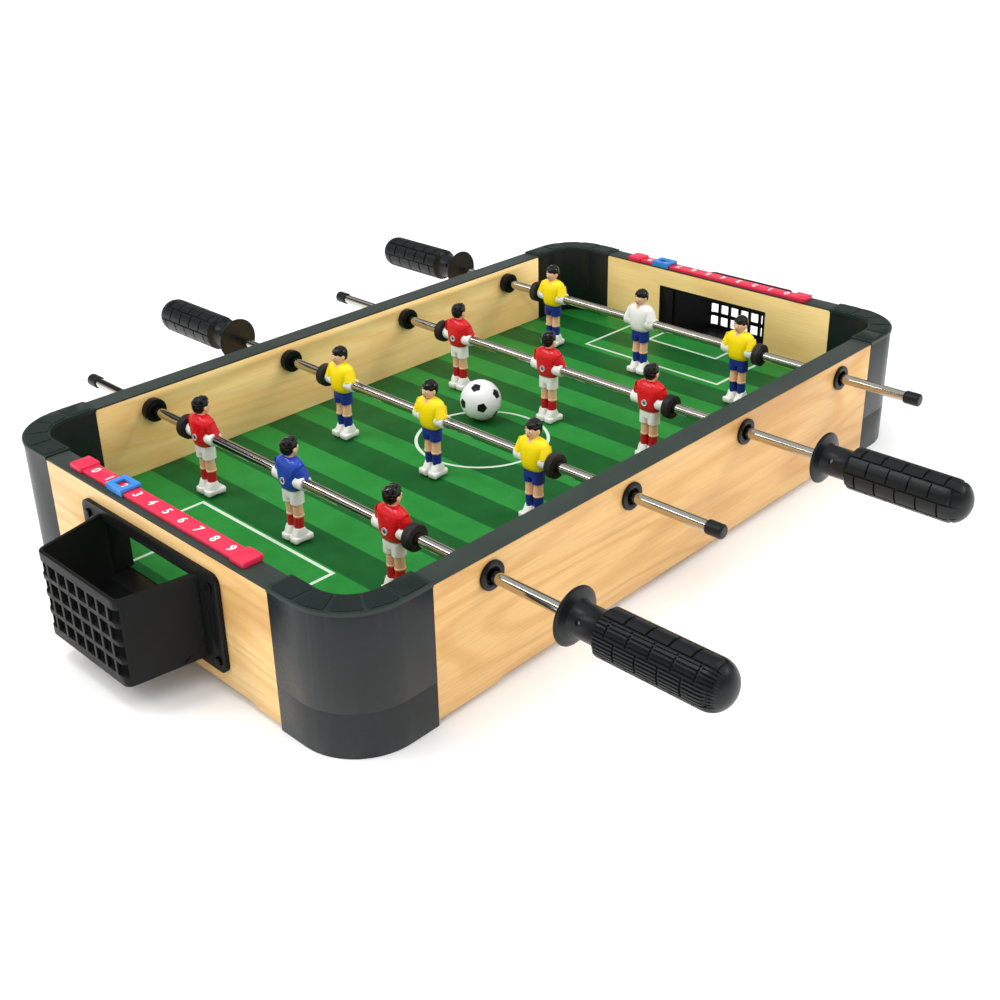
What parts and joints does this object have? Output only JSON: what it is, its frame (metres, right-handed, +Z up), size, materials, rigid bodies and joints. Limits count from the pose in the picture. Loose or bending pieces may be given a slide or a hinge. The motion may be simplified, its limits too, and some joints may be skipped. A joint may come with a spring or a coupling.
{
  "type": "tabletop foosball table",
  "caption": "Tabletop foosball game: wood-look walls with rounded corner posts, sliding and spinning player rods with grips, end goals, score sliders and a ball.",
  "frame": {"origin": "centre of the footprint, on the surface that the table stands on", "axes": "+X from the left goal to the right goal, +Y along the rods towards the rear rail, +Z up"},
  "size_m": [0.594, 0.582, 0.0928],
  "materials": {
    "wood_panel": "satin light pine print",
    "edging": "matte",
    "corner_plastic": "satin moulded",
    "cap_plastic": "matte moulded",
    "pitch_print": "matte print",
    "goal_plastic": "satin moulded",
    "goal_screw": "blackened",
    "bush_plastic": "semi-gloss",
    "screw_steel": "zinc plated",
    "score_pink": "semi-gloss",
    "slider_blue": "semi-gloss",
    "chrome_rod": "polished tube",
    "grip_black": "semi-gloss",
    "ring_rubber": "matte rubber",
    "man_red": "painted figure",
    "man_blue": "painted figure",
    "man_yellow": "painted figure",
    "man_white": "painted figure",
    "ball_white": "semi-gloss"
  },
  "bodies": {
    "table": {"pitch_board": "pitch_print", "front_rail": "wood_panel", "rear_rail": "wood_panel", "left_end_panel": "wood_panel", "right_end_panel": "wood_panel", "rail_edging": "edging", "end_edging": "edging", "corner_feet": "corner_plastic", "corner_screws": "screw_steel", "front_left_post": "corner_plastic", "front_right_post": "corner_plastic", "rear_left_post": "corner_plastic", "rear_right_post": "corner_plastic", "front_left_cap": "cap_plastic", "front_right_cap": "cap_plastic", "rear_left_cap": "cap_plastic", "rear_right_cap": "cap_plastic", "left_goal": "goal_plastic", "right_goal": "goal_plastic", "goal_screws": "goal_screw", "front_bushes": "bush_plastic", "rear_bushes": "bush_plastic", "left_score_bar": "score_pink", "right_score_bar": "score_pink"},
    "left_slider": {"left_score_slider": "slider_blue"},
    "right_slider": {"right_score_slider": "slider_blue"},
    "ball": {"ball": "ball_white"},
    "rod_1_bumpers": {"rod_1_rings": "ring_rubber"},
    "rod_1": {"rod_1_tube": "chrome_rod", "rod_1_handle": "grip_black", "rod_1_end_cap": "grip_black", "rod_1_screws": "screw_steel", "rod_1_front_man": "man_red", "rod_1_middle_man": "man_blue", "rod_1_rear_man": "man_red"},
    "rod_2_bumpers": {"rod_2_rings": "ring_rubber"},
    "rod_2": {"rod_2_tube": "chrome_rod", "rod_2_handle": "grip_black", "rod_2_end_cap": "grip_black", "rod_2_screws": "screw_steel", "rod_2_front_man": "man_yellow", "rod_2_middle_man": "man_yellow", "rod_2_rear_man": "man_yellow"},
    "rod_3_bumpers": {"rod_3_rings": "ring_rubber"},
    "rod_3": {"rod_3_tube": "chrome_rod", "rod_3_handle": "grip_black", "rod_3_end_cap": "grip_black", "rod_3_screws": "screw_steel", "rod_3_front_man": "man_red", "rod_3_middle_man": "man_red", "rod_3_rear_man": "man_red"},
    "rod_4_bumpers": {"rod_4_rings": "ring_rubber"},
    "rod_4": {"rod_4_tube": "chrome_rod", "rod_4_handle": "grip_black", "rod_4_end_cap": "grip_black", "rod_4_screws": "screw_steel", "rod_4_front_man": "man_yellow", "rod_4_middle_man": "man_white", "rod_4_rear_man": "man_yellow"}
  },
  "joints": [
    {"name": "left_score_slide", "type": "slide", "parent": "table", "child": "left_slider", "axis": [0, 1, 0], "range_m": [-0.0947, 0.0257]},
    {"name": "right_score_slide", "type": "slide", "parent": "table", "child": "right_slider", "axis": [0, 1, 0], "range_m": [-0.1085, 0.0119]},
    {"name": "ball_roll", "type": "slide", "parent": "table", "child": "ball", "axis": [0, 1, 0], "range_m": [-0.1635, 0.0895]},
    {"name": "rod_1_slide", "type": "slide", "parent": "table", "child": "rod_1_bumpers", "axis": [0, 1, 0], "range_m": [-0.0324, 0.0324]},
    {"name": "rod_1_spin", "type": "hinge", "parent": "rod_1_bumpers", "child": "rod_1", "pos_m": [-0.162, 0, 0.068], "axis": [0, 1, 0], "continuous": true},
    {"name": "rod_2_slide", "type": "slide", "parent": "table", "child": "rod_2_bumpers", "axis": [0, 1, 0], "range_m": [-0.0324, 0.0324]},
    {"name": "rod_2_spin", "type": "hinge", "parent": "rod_2_bumpers", "child": "rod_2", "pos_m": [-0.054, 0, 0.068], "axis": [0, 1, 0], "continuous": true},
    {"name": "rod_3_slide", "type": "slide", "parent": "table", "child": "rod_3_bumpers", "axis": [0, 1, 0], "range_m": [-0.0324, 0.0324]},
    {"name": "rod_3_spin", "type": "hinge", "parent": "rod_3_bumpers", "child": "rod_3", "pos_m": [0.054, 0, 0.068], "axis": [0, 1, 0], "continuous": true},
    {"name": "rod_4_slide", "type": "slide", "parent": "table", "child": "rod_4_bumpers", "axis": [0, 1, 0], "range_m": [-0.0338, 0.0259]},
    {"name": "rod_4_spin", "type": "hinge", "parent": "rod_4_bumpers", "child": "rod_4", "pos_m": [0.162, 0, 0.068], "axis": [0, 1, 0], "continuous": true}
  ]
}
